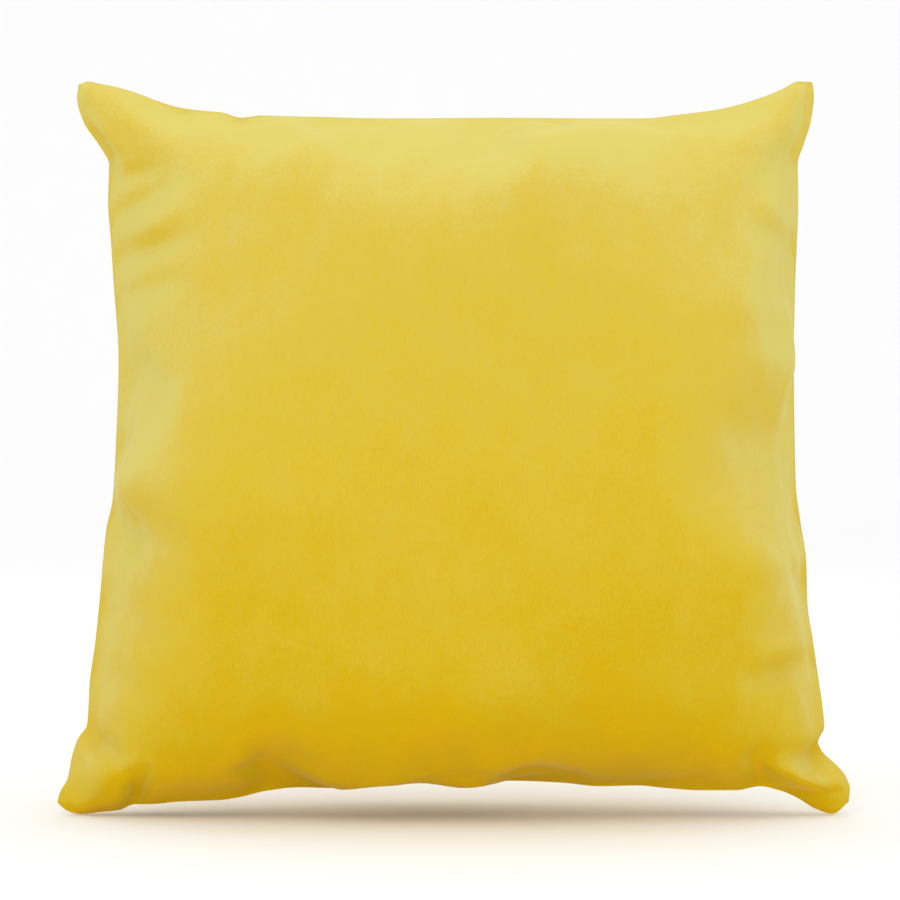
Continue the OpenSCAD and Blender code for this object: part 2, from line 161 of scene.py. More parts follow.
# ---------------------------------------------------------------------------------------------
# Helpers
# ---------------------------------------------------------------------------------------------
def smooth(t):
    """An eased step from 0 at t = 0 to 1 at t = 1."""
    t = np.clip(t, 0.0, 1.0)
    return t * t * (3 - 2 * t)


def hermite(points):
    """A smooth function through the points that doesn't overshoot them."""
    x, y = np.array(sorted(points), float).T
    step = np.diff(x)
    slope = np.diff(y) / step
    tangent = np.zeros(len(x))
    same = slope[:-1] * slope[1:] > 0
    tangent[1:-1][same] = 2 * slope[:-1][same] * slope[1:][same] / (slope[:-1] + slope[1:])[same]
    tangent[0], tangent[-1] = slope[0], slope[-1]

    def at(q):
        q = np.clip(q, x[0], x[-1])
        k = np.clip(np.searchsorted(x, q) - 1, 0, len(step) - 1)
        t = (q - x[k]) / step[k]
        a, b = tangent[k] * step[k], tangent[k + 1] * step[k]
        rise = y[k + 1] - y[k]
        return y[k] + t * a + t * t * (3 * rise - 2 * a - b) + t**3 * (a + b - 2 * rise)

    return at


def mesh_object(name, points, faces):
    """A smooth-shaded mesh in the scene."""
    mesh = bpy.data.meshes.new(name)
    mesh.from_pydata([tuple(p) for p in points], [], [tuple(int(k) for k in f) for f in faces])
    mesh.update()
    mesh.polygons.foreach_set("use_smooth", [True] * len(mesh.polygons))
    piece = bpy.data.objects.new(name, mesh)
    bpy.context.scene.collection.objects.link(piece)
    return piece


def grid_faces(columns, rows, first=0, flipped=False):
    """The quads of a grid of points that is stored column by column, from point first on."""
    made = []
    for i in range(columns - 1):
        for j in range(rows - 1):
            a = first + i * rows + j
            face = (a, a + rows, a + rows + 1, a + 1)
            made.append(face[::-1] if flipped else face)
    return made


def border(columns, rows):
    """The grid's border points in a loop: bottom, right, top, left."""
    return (
        [i * rows for i in range(columns - 1)]
        + [(columns - 1) * rows + j for j in range(rows - 1)]
        + [i * rows + rows - 1 for i in range(columns - 1, 0, -1)]
        + [j for j in range(rows - 1, 0, -1)]
    )


# ---------------------------------------------------------------------------------------------
# The cover as cloth: two flat squares sewn round the edge, and blown up
# ---------------------------------------------------------------------------------------------
def flat_cover(cells):
    """(points, faces, front index grid, back index grid) of the empty cover, barely opened."""
    t = np.linspace(-1, 1, cells + 1)
    front = np.zeros((cells + 1, cells + 1), int)
    back = np.zeros_like(front)
    points = []
    uneven = np.random.default_rng(7).normal(0, CLOTH_UNEVEN, (cells + 1, cells + 1))
    for i, u in enumerate(t):
        for j, v in enumerate(t):
            x, z = u * CUT_SIDE / 2, (1 + v) * CUT_SIDE / 2
            gap = CLOTH_OPENED * (1 - u * u) * (1 - v * v) + CLOTH_APART
            at_seam = i in (0, cells) or j in (0, cells)
            front[i, j] = len(points)
            points.append((x, 0.0 if at_seam else uneven[i, j] - gap, z))
            if at_seam:
                back[i, j] = front[i, j]
            else:
                back[i, j] = len(points)
                points.append((x, gap + uneven[j, i], z))
    faces = []
    for i in range(cells):
        for j in range(cells):
            for grid, turn in ((front, 1), (back, -1)):
                loop = [grid[i, j], grid[i + 1, j], grid[i + 1, j + 1], grid[i, j + 1]]
                faces.append(loop[::turn])
    return points, faces, front, back


def inflated_cover():
    """The front and back skins, each an array of points over the grid, after the simulation."""
    points, faces, front, back = flat_cover(CLOTH_CELLS)
    piece = mesh_object("inflating", points, faces)
    cloth = piece.modifiers.new("cloth", "CLOTH")
    settings = cloth.settings
    settings.quality = 6
    settings.mass = 0.3
    settings.air_damping = 2
    settings.tension_stiffness = settings.compression_stiffness = 40
    settings.shear_stiffness = 15
    settings.bending_stiffness = 4
    settings.tension_damping = settings.compression_damping = 20
    settings.shear_damping = 15
    settings.bending_damping = 2
    settings.use_pressure = True
    settings.uniform_pressure_force = CLOTH_PRESSURE
    settings.effector_weights.gravity = 0
    cloth.collision_settings.use_collision = False
    cloth.collision_settings.use_self_collision = False
    cloth.point_cache.frame_start = 1
    cloth.point_cache.frame_end = CLOTH_FRAMES
    scene = bpy.context.scene
    scene.frame_start, scene.frame_end = 1, CLOTH_FRAMES
    for f in range(1, CLOTH_FRAMES + 1):
        scene.frame_set(f)
    done = piece.evaluated_get(bpy.context.evaluated_depsgraph_get())
    flat = np.empty(len(points) * 3)
    done.data.vertices.foreach_get("co", flat)
    mesh = piece.data
    bpy.data.objects.remove(piece)
    bpy.data.meshes.remove(mesh)
    scene.frame_set(1)
    places = flat.reshape(-1, 3)
    return places[front], places[back]


def resampled(skin, t):
    """The skin's points at other places along both grid directions, by cubic interpolation."""
    cells = skin.shape[0] - 1
    q = np.clip((t + 1) / 2 * cells, 0, cells)
    k = np.minimum(q.astype(int), cells - 1)
    s = q - k
    weights = np.zeros((len(t), cells + 1))
    terms = (
        (-1, (-s + 2 * s**2 - s**3) / 2),
        (0, (2 - 5 * s**2 + 3 * s**3) / 2),
        (1, (s + 4 * s**2 - 3 * s**3) / 2),
        (2, (-(s**2) + s**3) / 2),
    )
    rows = np.arange(len(t))
    for offset, w in terms:
        at = k + offset
        # past an end, the next point goes on in a straight line
        low, high = at < 0, at > cells
        inside = ~(low | high)
        np.add.at(weights, (rows[inside], at[inside]), w[inside])
        np.add.at(weights, (rows[low], 0), 2 * w[low])
        np.add.at(weights, (rows[low], 1), -w[low])
        np.add.at(weights, (rows[high], cells), 2 * w[high])
        np.add.at(weights, (rows[high], cells - 1), -w[high])
    return np.einsum("ai,ijc,bj->abc", weights, skin, weights)


# ---------------------------------------------------------------------------------------------
# Fitting the blown-up cover to its outline
# ---------------------------------------------------------------------------------------------
EVEN = np.linspace(-1, 1, FINE + 1)
T = np.sign(EVEN) * (1 - (1 - np.abs(EVEN)) ** CROWDING)  # where the grid's lines are, -1 to 1


def blurred(values, width):
    """values smoothed along a line, with both ends kept."""
    n = len(values)
    line = values[0] + (values[-1] - values[0]) * np.linspace(0, 1, n)
    rest = values - line
    padded = np.concatenate([-rest[:0:-1], rest, -rest[-2::-1]])
    span = np.arange(-3 * width, 3 * width + 1)
    kernel = np.exp(-0.5 * (span / width) ** 2)
    out = np.convolve(padded, kernel / kernel.sum(), mode="same")
    return line + out[n - 1 : 2 * n - 1]


def outline_targets(seam):
    """Where each border point goes, in the seam plane: left, right, bottom and top."""
    left, right = hermite(LEFT_SIDE), hermite(RIGHT_SIDE)
    low, high = hermite(BOTTOM), hermite(TOP)

    def spread(values, points):
        share = (values - values[0]) / (values[-1] - values[0])
        return points[0][0] + share * (points[-1][0] - points[0][0])

    z_left = spread(seam[0, :, 2], LEFT_SIDE)
    z_right = spread(seam[-1, :, 2], RIGHT_SIDE)
    x_low = spread(seam[:, 0, 0], BOTTOM)
    x_high = spread(seam[:, -1, 0], TOP)
    return [
        np.stack([x * WIDTH, 0 * x, z * HEIGHT], -1)
        for x, z in (
            (left(z_left), z_left), (right(z_right), z_right),
            (x_low, low(x_low)), (x_high, high(x_high)),
        )
    ]


def fitted(front, back):
    """Both skins moved so that the seam follows the outline, each border's move fading evenly
    across the panel."""
    seam = (front + back) / 2
    ends = [seam[0], seam[-1], seam[:, 0], seam[:, -1]]
    left, right, low, high = [goal - now for goal, now in zip(outline_targets(seam), ends)]
    share = (T + 1) / 2
    u, v = share[:, None, None], share[None, :, None]
    corners = (
        (1 - u) * (1 - v) * left[0] + (1 - u) * v * left[-1]
        + u * (1 - v) * right[0] + u * v * right[-1]
    )
    shift = (1 - u) * left[None] + u * right[None] + (1 - v) * low[:, None] + v * high[:, None]
    shift = shift - corners
    return front + shift, back + shift


def centred(front, back, reach=20 * MM):
    """Both skins with the seam's wander across its plane taken out, close to the seam."""
    distance = (1 - np.abs(T)) * CUT_SIDE / 2
    near = np.exp(-((distance / reach) ** 2))
    weight = np.maximum(near[:, None], near[None])
    middle = weight * (front[..., 1] + back[..., 1]) / 2
    front[..., 1] -= middle
    back[..., 1] -= middle
    return front, back


def rim_depth(least=5 * MM, reach=5 * MM):
    """The least depth of a face: nothing at the seam, and more further in."""
    distance = (1 - np.abs(T)) * CUT_SIDE / 2
    rise = 1 - np.exp(-distance / reach)
    return least * np.minimum(rise[:, None], rise[None])


def held_in(skin, rounding=1.0 * MM):
    """Keeps the belly from standing out past the seam in a front view."""
    left, right, low, high = (hermite(line) for line in (LEFT_SIDE, RIGHT_SIDE, BOTTOM, TOP))
    x, z = skin[..., 0], skin[..., 2]
    inner = (slice(1, -1), slice(1, -1))

    def kept(inside):
        return (inside + np.sqrt(inside * inside + rounding * rounding)) / 2

    for side, sign in ((left, 1), (right, -1)):
        edge = side(z / HEIGHT) * WIDTH
        x[inner] = (edge + sign * kept(sign * (x - edge)))[inner]
    for side, sign in ((low, 1), (high, -1)):
        edge = side(x / WIDTH) * HEIGHT
        z[inner] = (edge + sign * kept(sign * (z - edge)))[inner]


def softened(skin, width):
    """The skin with its smallest kinks blurred, its border kept in place."""
    for axis in range(3):
        values = skin[..., axis]
        for i in range(values.shape[0]):
            values[i] = blurred(values[i], width)
        for j in range(values.shape[1]):
            values[:, j] = blurred(values[:, j], width)
    return skin


# ---------------------------------------------------------------------------------------------
# Folds, dents and creases, by place as fractions of the box: (across, height)
# ---------------------------------------------------------------------------------------------
def crease(skin, start, end, width, depth, side):
    """Presses a valley (or raises a roll, if depth is negative) along a line, fading at its
    ends, and never by more than a share of the depth that is there."""
    a, b = (np.array([p[0] * WIDTH, p[1] * HEIGHT]) for p in (start, end))
    place = skin[..., [0, 2]]
    along = b - a
    share = np.clip(((place - a) @ along) / (along @ along), 0, 1)
    off = np.linalg.norm(place - (a + share[..., None] * along), axis=-1)
    fade = np.sin(np.pi * np.clip(0.15 + 0.7 * share, 0, 1))
    there = side * skin[..., 1]
    press = depth * fade * np.exp(-((off / width) ** 2))
    skin[..., 1] = side * (there - np.clip(press, -0.6 * there, 0.55 * there))


FRONT_FOLDS = [
    # start, end, width, depth; a negative depth is a raised roll
    ((-0.455, 0.928), (-0.428, 0.892), 4 * MM, 8 * MM),
    ((-0.446, 0.934), (-0.412, 0.886), 5 * MM, -6 * MM),
    ((-0.412, 0.868), (-0.362, 0.880), 8 * MM, 6.5 * MM),
    ((-0.418, 0.815), (-0.350, 0.858), 8 * MM, 8 * MM),
    ((-0.416, 0.757), (-0.340, 0.786), 8 * MM, 8 * MM),
    ((-0.414, 0.702), (-0.350, 0.732), 9 * MM, 5 * MM),
    ((-0.270, 0.950), (-0.245, 0.900), 7 * MM, 3.5 * MM),
    ((-0.350, 0.965), (-0.335, 0.925), 8 * MM, 2.5 * MM),
    ((0.444, 0.985), (0.436, 0.930), 5 * MM, 3.5 * MM),
    ((0.432, 0.925), (0.380, 0.850), 9 * MM, 4.5 * MM),
    ((0.388, 0.835), (0.432, 0.795), 7 * MM, -3 * MM),
    ((0.375, 0.805), (0.428, 0.765), 9 * MM, 4 * MM),
    ((-0.466, 0.124), (-0.425, 0.085), 5.5 * MM, 7 * MM),
    ((-0.455, 0.085), (-0.432, 0.020), 8 * MM, -3 * MM),
    ((-0.404, 0.016), (-0.388, 0.064), 4.5 * MM, 8 * MM),
    ((0.462, 0.100), (0.436, 0.088), 5 * MM, 5 * MM),
    ((0.4475, 0.090), (0.445, 0.052), 5 * MM, 5 * MM),
    ((0.412, 0.058), (0.482, 0.048), 7 * MM, -5 * MM),
    ((0.425, 0.030), (0.490, 0.026), 5 * MM, 7 * MM),
    ((0.392, 0.038), (0.372, 0.090), 7 * MM, 5 * MM),
    ((0.450, 0.222), (0.376, 0.196), 7 * MM, 8 * MM),
    ((0.448, 0.243), (0.390, 0.222), 7 * MM, -4 * MM),
    ((0.446, 0.345), (0.395, 0.315), 12 * MM, 4 * MM),
    ((0.436, 0.440), (0.390, 0.400), 14 * MM, 3 * MM),
    ((-0.445, 0.300), (-0.385, 0.262), 13 * MM, 4 * MM),
    ((-0.434, 0.420), (-0.380, 0.400), 13 * MM, 3 * MM),
    ((-0.455, 0.205), (-0.400, 0.180), 10 * MM, 3 * MM),
    ((-0.240, 0.036), (-0.222, 0.130), 12 * MM, 4 * MM),
    ((-0.140, 0.040), (-0.130, 0.110), 14 * MM, 3 * MM),
    ((-0.050, 0.050), (-0.045, 0.120), 15 * MM, 3 * MM),
    ((0.070, 0.048), (0.066, 0.120), 15 * MM, 3 * MM),
    ((0.200, 0.042), (0.182, 0.130), 13 * MM, 4 * MM),
    ((0.310, 0.036), (0.290, 0.110), 10 * MM, 4 * MM),
]
BACK_FOLDS = [
    ((-0.445, 0.940), (-0.380, 0.860), 9 * MM, 4 * MM),
    ((0.440, 0.930), (0.370, 0.870), 9 * MM, 4 * MM),
    ((0.430, 0.830), (0.360, 0.740), 12 * MM, 3.5 * MM),
    ((-0.430, 0.760), (-0.370, 0.690), 12 * MM, 3 * MM),
    ((-0.460, 0.110), (-0.400, 0.090), 7 * MM, 4.5 * MM),
    ((0.460, 0.105), (0.405, 0.080), 7 * MM, 4.5 * MM),
    ((-0.390, 0.020), (-0.360, 0.090), 8 * MM, 4 * MM),
    ((0.395, 0.030), (0.365, 0.090), 8 * MM, 4 * MM),
    ((-0.180, 0.040), (-0.170, 0.115), 14 * MM, 3 * MM),
    ((0.120, 0.046), (0.110, 0.120), 14 * MM, 3 * MM),
    ((0.440, 0.330), (0.385, 0.300), 13 * MM, 3 * MM),
    ((-0.438, 0.430), (-0.390, 0.400), 13 * MM, 3 * MM),
]


def parted(x):
    """How far each velvet edge stands from the seam plane, over the zip and away from it."""
    opened = smooth((CLOSED - np.abs(x)) / (CLOSED - OPENED))
    return SEAM_GAP + (ZIP_GAP - SEAM_GAP) * opened


def rested(skin):
    """Nothing goes below the floor, and what touches it spreads flat."""
    z = skin[..., 2]
    spread = 1.2 * MM
    lifted = np.where(z < spread, spread * np.exp(np.minimum(z - spread, 0) / spread), z)
    skin[..., 2] = np.maximum(lifted, FLOOR_GAP)


def finished_skins():
    """Each of the cover's two faces, closed along the seam plane, with how far it stands off
    that plane, which is more over the zip."""
    front, back = inflated_cover()
    front, back = resampled(front, T), resampled(back, T)
    off_centre = (front[0, :, 0] + front[-1, :, 0]).mean() / 2
    for skin in (front, back):
        skin[..., 0] -= off_centre
    front, back = centred(*fitted(softened(front, KINK), softened(back, KINK)))
    made = []
    for skin, side, folds in ((front, -1, FRONT_FOLDS), (back, 1, BACK_FOLDS)):
        skin[..., 1] *= 1 + BOTTOM_HEAVY * (0.5 - skin[..., 2] / HEIGHT)
        skin[..., 1] *= (DEPTH / 2 - SEAM_GAP) / np.abs(skin[..., 1]).max()
        held_in(skin)
        depth = side * skin[..., 1]
        skin[..., 1] = side * (depth + np.sqrt(depth**2 + rim_depth() ** 2)) / 2
        for start, end, width, depth in folds:
            crease(skin, start, end, width, depth, side)
        rested(skin)
        gap = np.exp(-(1 + T) * CUT_SIDE / 2 / ZIP_REACH)[None] * (
            parted(skin[..., 0]) - SEAM_GAP
        )
        made.append((skin, SEAM_GAP + gap))
    return made


def over_zip(points):
    """Lifts the bottom of a layer over the zip's tapes, and less the higher it is."""
    low = ZIP_ROOM * smooth((CLOSED - np.abs(points[..., 0])) / ZIP_REACH) + 1e-6
    z = points[..., 2]
    points[..., 2] = np.where(z < 2 * low, low + z * z / (4 * low), z)


def nested(skin, side, layer, gap=0.0):
    """A layer inside the face: drawn in from the seam, and moved towards the middle."""
    inset, offset = layer
    made = skin.copy()
    reach = max(2 * inset, LAYER_REACH) * 2 / CUT_SIDE
    pull = np.exp(-(1 + T) / reach) - np.exp(-(1 - T) / reach)
    made[..., 0] += inset * pull[:, None]
    made[..., 2] += inset * pull[None]
    depth = np.abs(skin[..., 1])
    made[..., 1] = side * (gap + depth * depth / (depth + offset + 1e-9))
    if inset >= CASING_FACE[0]:
        over_zip(made)
    return made


# ---------------------------------------------------------------------------------------------
# Making the pieces
# ---------------------------------------------------------------------------------------------
def piece_of(piece, slot, material, *nodes):
    """The piece rides on the pillow, stands for the CAD nodes and takes its material; the slot is
    not used.
    """
    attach(piece, "pillow")
    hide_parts(*nodes)
    piece.data.materials.append(material)
    return piece


def shell(name, outer, inner, side):
    """A closed panel between two layers that share their grid."""
    columns, rows = outer.shape[:2]
    count = columns * rows
    faces = grid_faces(columns, rows, 0, side > 0) + grid_faces(columns, rows, count, side < 0)
    loop = border(columns, rows)
    for a, b in zip(loop, loop[1:] + loop[:1]):
        quad = (b, a, a + count, b + count)
        faces.append(quad if side < 0 else quad[::-1])
    points = np.concatenate([outer.reshape(-1, 3), inner.reshape(-1, 3)])
    piece = mesh_object(name, points, faces)
    piece.data.set_sharp_from_angle(angle=math.radians(60))
    return piece


def tube(name, path, radius, sides=6):
    """A round thread or wire along a path, with its frame carried along without twist."""
    path = np.asarray(path, float)
    ahead, behind = np.roll(path, -1, 0), np.roll(path, 1, 0)
    ahead[-1], behind[0] = path[-1], path[0]
    tangent = ahead - behind
    tangent /= np.linalg.norm(tangent, axis=1)[:, None]
    normal = np.cross(tangent[0], (0.3, 0.9, 0.2))
    points = []
    angles = np.linspace(0, 2 * math.pi, sides, endpoint=False)
    for place, t in zip(path, tangent):
        normal = normal - t * (normal @ t)
        normal /= np.linalg.norm(normal)
        across = np.cross(t, normal)
        for a in angles:
            points.append(place + radius * (math.cos(a) * normal + math.sin(a) * across))
    count = len(path)
    faces = []
    for k in range(count - 1):
        here, there = k * sides, (k + 1) * sides
        for m in range(sides):
            n = (m + 1) % sides
            faces.append((here + m, here + n, there + n, there + m))
    faces.append(tuple(range(sides))[::-1])
    faces.append(tuple((count - 1) * sides + m for m in range(sides)))
    return mesh_object(name, points, faces)


def along(line, step):
    """The line resampled to even steps."""
    length = np.concatenate([[0], np.cumsum(np.linalg.norm(np.diff(line, axis=0), axis=1))])
    places = np.linspace(0, length[-1], max(2, int(length[-1] / step)))
    return np.stack([np.interp(places, length, line[:, k]) for k in range(line.shape[1])], -1)


def seam_run(skin, side, layer, zip_half):
    """The seam line of a layer, from the zip's right end round to its left end."""
    flat = nested(skin, side, layer).reshape(-1, 3)
    loop = np.array(border(FINE + 1, FINE + 1))
    low = loop[: FINE]
    right = [k for k in low if flat[k, 0] >= zip_half]
    left = [k for k in low if flat[k, 0] <= -zip_half]
    run = flat[right + list(loop[FINE:]) + left]
    run[:, 1] = 0
    return run


def cover_panels(velvet):
    """The two velvet panels, each a closed shell with its lining side."""
    for name, side, (skin, gap) in sides():
        lining = nested(skin, side, COVER_LINING, gap)
        face = skin.copy()
        face[..., 1] += side * gap
        lining[..., 2] = np.maximum(lining[..., 2], face[..., 2].min() + FLOOR_GAP)
        panel = shell(f"cover_{name}", face, lining, side)
        piece_of(panel, "velvet", velvet, f"cover_{name}_panel")


def insert_panels(cotton):
    """The insert's casing: the same shape as the cover, drawn in all round."""
    for name, side, (skin, _) in sides():
        face = nested(skin, side, CASING_FACE)[::COARSE, ::COARSE]
        lining = nested(skin, side, CASING_LINING)[::COARSE, ::COARSE]
        face[..., 1] += side * SEAM_GAP
        lining[..., 1] += side * SEAM_GAP
        panel = shell(f"insert_{name}", face, lining, side)
        piece_of(panel, "insert_cotton", cotton, f"insert_{name}_panel")


def fibre_pad(fibre):
    """The filling: one closed, slightly lumpy body inside the casing."""
    skins = {}
    across, up = FIBRE_WAVES
    for name, side, (skin, _) in sides():
        skins[name] = nested(skin, side, FIBRE_FACE)[::COARSE, ::COARSE]
        lumps = np.sin(skins[name][..., 0] * across) * np.sin(skins[name][..., 2] * up + side)
        depth = np.abs(skins[name][..., 1])
        skins[name][..., 1] -= side * FIBRE_LUMP * (1 + lumps) * smooth(depth / (20 * MM))
    columns, rows = skins["front"].shape[:2]
    count = columns * rows
    shared = set(border(columns, rows))
    points = list(skins["front"].reshape(-1, 3))
    at = {k: k for k in shared}
    for k, place in enumerate(skins["back"].reshape(-1, 3)):
        if k not in shared:
            at[k] = len(points)
            points.append(place)
    faces = grid_faces(columns, rows)
    faces += [tuple(at[k] for k in face) for face in grid_faces(columns, rows, 0, True)]
    pad = mesh_object("fibre", points, faces)
    piece_of(pad, "fibre", fibre, "fibre_fill")


def labels(satin):
    """Two blank labels that lie on the insert's front: one of the cover, one of the insert."""
    for name, node, mirrored in (("care_label_sheet", "care_label", False),
                                 ("insert_label_sheet", "insert_label", True)):
        skin = SKINS["front"][0]
        layers = [nested(skin, -1, layer) for layer in LABEL_LAYERS]
        rows = np.nonzero(
            (layers[0][0, :, 2] > LABEL_LOW) & (layers[0][0, :, 2] < LABEL_LOW + LABEL_FLAT[1])
        )[0]
        middle = layers[0][:, rows[len(rows) // 2]]
        if mirrored:
            middle = middle[::-1]
        run = np.cumsum(np.linalg.norm(np.diff(middle, axis=0), axis=1))
        wide = int(np.searchsorted(run, LABEL_FLAT[0])) + 1
        columns = slice(FINE - wide, FINE) if mirrored else slice(1, wide + 1)
        patch = [layer[columns, rows[0] : rows[-1] + 1] for layer in layers]
        sheet = piece_of(shell(name, *patch, -1), "label_satin", satin, node)


def seam_threads(thread, white_thread):
    """The stitches of the cover's seam and overlocked edge, and of the insert's seam."""
    skin = SKINS["front"][0]
    run = along(seam_run(skin, -1, SEAM_LINE, CLOSED), STITCH / 2)
    run[:, 1] = 0.5 * THREAD * (-1.0) ** np.arange(len(run))
    piece_of(tube("seam_stitches", run, THREAD / 2), "thread", thread, "cover_seam_thread")
    outer, inner = (
        along(seam_run(skin, -1, line, CLOSED), OVERLOCK_STEP) for line in OVERLOCK_LINES
    )
    count = min(len(outer), len(inner))
    zigzag = np.where((np.arange(count) % 2 == 0)[:, None], outer[:count], inner[:count])
    piece_of(tube("overlock_stitches", zigzag, THREAD / 2), "thread", thread,
             "cover_overlock_thread")
    run = along(seam_run(skin, -1, INSERT_SEAM, CLOSING_HALF), STITCH / 2)
    run[:, 1] = 0.5 * THREAD * (-1.0) ** np.arange(len(run))
    piece_of(tube("insert_stitches", run, THREAD / 2), "insert_thread", white_thread,
             "insert_seam_thread")
    bottom = nested(skin, -1, INSERT_SEAM)[:, 0]
    bottom = along(bottom[np.abs(bottom[:, 0]) < CLOSING_HALF], WHIP_STEP)
    turn = 2 * math.pi * np.arange(len(bottom)) * WHIP_STEP / WHIP_STITCH
    bottom[:, 1] = WHIP_WIDE * np.cos(turn)
    bottom[:, 2] += WHIP_TALL * np.sin(turn)
    piece_of(tube("closing_stitches", bottom, THREAD / 2), "insert_thread", white_thread,
             "insert_closing_thread")


def tape_part(name, node, side, start, end):
    """A stretch of woven tape: flat beside the coil, then bent up to lie against the velvet."""
    low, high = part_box(node)
    sewn, inner = sorted((abs(low[1]), abs(high[1])), reverse=True)
    centre = sewn - TAPE / 2 - TAPE_BEND, low[2] + TAPE / 2 + TAPE_BEND
    bend = [math.radians(a) for a in range(0, 91, 15)]
    slider_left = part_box("zip_slider")[0][0]
    stations = np.linspace(start, end, int((end - start) / TAPE_STEP) + 2)
    points = []
    for x in stations:
        edge = inner + TAPE_DRAWN * smooth((x - slider_left) / TAPE_DRAWN_OVER)
        lines = []
        for half in (TAPE / 2, -TAPE / 2):
            flat = centre[1] - TAPE_BEND - half
            line = [(edge, flat), (0.5 * (edge + centre[0]), flat)]
            line += [
                (centre[0] + (TAPE_BEND + half) * math.sin(a),
                 centre[1] - (TAPE_BEND + half) * math.cos(a))
                for a in bend
            ]
            lines.append(line + [(centre[0] + TAPE_BEND + half, high[2])])
        points += [(x, side * y, z) for y, z in lines[0] + lines[1][::-1]]
    ring = len(points) // len(stations)
    last = (len(stations) - 1) * ring
    faces = [tuple(range(ring))[::-1], tuple(range(last, last + ring))]
    for k in range(len(stations) - 1):
        for m in range(ring):
            n = (m + 1) % ring
            faces.append((k * ring + m, k * ring + n, (k + 1) * ring + n, (k + 1) * ring + m))
    faces = faces if side < 0 else [face[::-1] for face in faces]
    tape = mesh_object(name, points, faces)
    tape.data.set_sharp_from_angle(angle=math.radians(50))
    return tape


def coil_path(node, side):
    """The coil's wire: a helix along the tape's edge, filling the coil's box."""
    low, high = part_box(node)
    middle = (low + high) / 2
    wide, tall = (high[1] - low[1]) / 2 - COIL_WIRE, (high[2] - low[2]) / 2 - COIL_WIRE
    turns = (high[0] - low[0] - 2 * COIL_WIRE) / COIL_PITCH
    angle = np.linspace(0, 2 * math.pi * turns, int(turns * 14))
    return np.stack([
        low[0] + COIL_WIRE + COIL_PITCH * angle / (2 * math.pi),
        middle[1] - side * wide * np.cos(angle),
        middle[2] + tall * np.sin(angle),
    ], -1)


def tape_stitches(node, side):
    """Running stitches through the tape and the velvet's turned-in edge."""
    low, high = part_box(node)
    near, far = sorted((abs(low[1]), abs(high[1])))
    count = int((high[0] - low[0]) / TAPE_STITCH)
    return [
        (low[0] + (high[0] - low[0]) * k / count,
         side * (near + THREAD / 2 if k % 2 == 0 else far - THREAD), (low[2] + high[2]) / 2)
        for k in range(count + 1)
    ]


def zip_pieces(tape_cloth, nylon, thread):
    """Woven tapes, a coil of monofilament on each, and the stitches that hold the tapes.
    Tape and coil are each made in two pieces, split where the open slider stops holding them."""
    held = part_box("zip_slider")[1][0] - ZIP_TRAVEL - SLIDER_MOUTH
    for name, side in (("front", -1), ("back", 1)):
        node = f"zip_tape_{name}"
        low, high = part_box(node)
        tape = tape_part(f"tape_{name}", node, side, held, high[0])
        tape_end = tape_part(f"tape_end_{name}", node, side, low[0], held)
        for piece in (tape, tape_end):
            piece_of(piece, "zip_tape", tape_cloth, node)

        node = f"zip_coil_{name}"
        path = coil_path(node, side)
        coil = tube(f"coil_{name}", path[path[:, 0] > held], COIL_WIRE, WIRE_SIDES)
        coil_end = tube(f"coil_end_{name}", path[path[:, 0] <= held], COIL_WIRE, WIRE_SIDES)
        for piece in (coil, coil_end):
            piece_of(piece, "zip_nylon", nylon, node)

        for piece in (tape, coil):
            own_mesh(piece)

        node = f"zip_stitching_{name}"
        piece_of(tube(f"tape_stitches_{name}", tape_stitches(node, side), THREAD / 2),
                 "thread", thread, node)


SKINS = dict(zip(("front", "back"), finished_skins()))


def sides():
    """(name, direction of its outside along y, its skin) of each face."""
    return [("front", -1, SKINS["front"]), ("back", 1, SKINS["back"])]


# ---------------------------------------------------------------------------------------------
# Materials
# ---------------------------------------------------------------------------------------------
def node_material(name):
    """(material, its node tree, its shader)"""
    material = bpy.data.materials.new(name)
    material.use_nodes = True
    tree = material.node_tree
    return material, tree, tree.nodes["Principled BSDF"]


def add(tree, kind, inputs=(), **settings):
    """A new node whose inputs are linked to sockets or set to values."""
    made = tree.nodes.new(kind)
    for key, value in settings.items():
        setattr(made, key, value)
    for key, value in dict(inputs).items():
        if isinstance(value, bpy.types.NodeSocket):
            tree.links.new(value, made.inputs[key])
        else:
            made.inputs[key].default_value = value
    return made


def object_place(tree, scale=(1, 1, 1)):
    """The point on the object, in its own coordinates."""
    place = add(tree, "ShaderNodeTexCoord").outputs["Object"]
    return add(tree, "ShaderNodeMapping", {"Vector": place, "Scale": scale}).outputs["Vector"]


def noise(tree, place, scale, detail, roughness=0.5, distortion=0.0):
    made = add(tree, "ShaderNodeTexNoise", {
        "Vector": place, "Scale": scale, "Detail": detail, "Roughness": roughness,
        "Distortion": distortion,
    })
    return made.outputs["Fac"]


def ranged(tree, value, low, high, to_low, to_high):
    return add(tree, "ShaderNodeMapRange", {
        "Value": value, "From Min": low, "From Max": high, "To Min": to_low, "To Max": to_high,
    }).outputs["Result"]


def maths(tree, operation, a, b):
    return add(tree, "ShaderNodeMath", {0: a, 1: b}, operation=operation).outputs["Value"]


def ramp(tree, value, stops):
    made = add(tree, "ShaderNodeValToRGB", {"Fac": value})
    line = made.color_ramp
    while len(line.elements) < len(stops):
        line.elements.new(0.5)
    for element, (place, colour) in zip(line.elements, stops):
        element.position = place
        element.color = (*colour, 1)
    return made.outputs["Color"]


